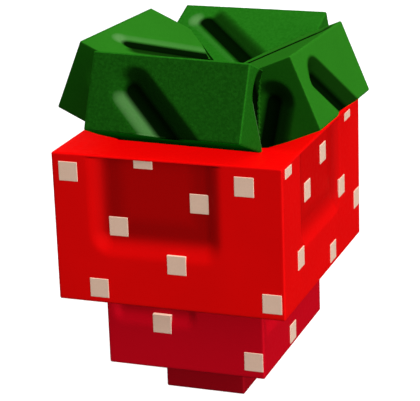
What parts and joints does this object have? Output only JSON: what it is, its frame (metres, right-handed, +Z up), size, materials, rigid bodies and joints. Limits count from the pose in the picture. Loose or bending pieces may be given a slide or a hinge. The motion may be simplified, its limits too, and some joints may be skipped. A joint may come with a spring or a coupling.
{
  "type": "block-style strawberry ornament",
  "caption": "Blocky strawberry made of stacked red blocks that step down to a small tip, with tilted green leaf blocks on top and square tan seed tiles.",
  "frame": {"origin": "under the middle of the leaf crown, at the height of the flat underside of the tip block", "axes": "+Z up through the crown, +X to the object's right and -Y out of its front face"},
  "size_m": [0.0723, 0.0769, 0.0956],
  "materials": {
    "red": "satin",
    "crimson": "satin",
    "dark_crimson": "satin",
    "leaf_green": "satin, leathery grain",
    "seed_tan": "matte"
  },
  "bodies": {
    "root": {"body_block": "red", "body_seed_back_1": "seed_tan", "body_seed_back_2": "seed_tan", "body_seed_back_3": "seed_tan", "body_seed_back_4": "seed_tan", "body_seed_back_5": "seed_tan", "body_seed_back_6": "seed_tan", "body_seed_back_7": "seed_tan", "body_seed_back_8": "seed_tan", "body_seed_front_1": "seed_tan", "body_seed_front_2": "seed_tan", "body_seed_front_3": "seed_tan", "body_seed_front_4": "seed_tan", "body_seed_front_5": "seed_tan", "body_seed_front_6": "seed_tan", "body_seed_front_7": "seed_tan", "body_seed_front_8": "seed_tan", "body_seed_left_1": "seed_tan", "body_seed_left_2": "seed_tan", "body_seed_left_3": "seed_tan", "body_seed_left_4": "seed_tan", "body_seed_left_5": "seed_tan", "body_seed_left_6": "seed_tan", "body_seed_left_7": "seed_tan", "body_seed_left_8": "seed_tan", "body_seed_right_1": "seed_tan", "body_seed_right_2": "seed_tan", "body_seed_right_3": "seed_tan", "body_seed_right_4": "seed_tan", "body_seed_right_5": "seed_tan", "body_seed_right_6": "seed_tan", "body_seed_right_7": "seed_tan", "body_seed_right_8": "seed_tan", "leaf_back": "leaf_green", "leaf_front": "leaf_green", "leaf_left": "leaf_green", "leaf_right": "leaf_green", "middle_block": "crimson", "middle_seed_back_1": "seed_tan", "middle_seed_back_2": "seed_tan", "middle_seed_front_1": "seed_tan", "middle_seed_front_2": "seed_tan", "middle_seed_left_1": "seed_tan", "middle_seed_right_1": "seed_tan", "tip_block": "dark_crimson"}
  },
  "joints": []
}
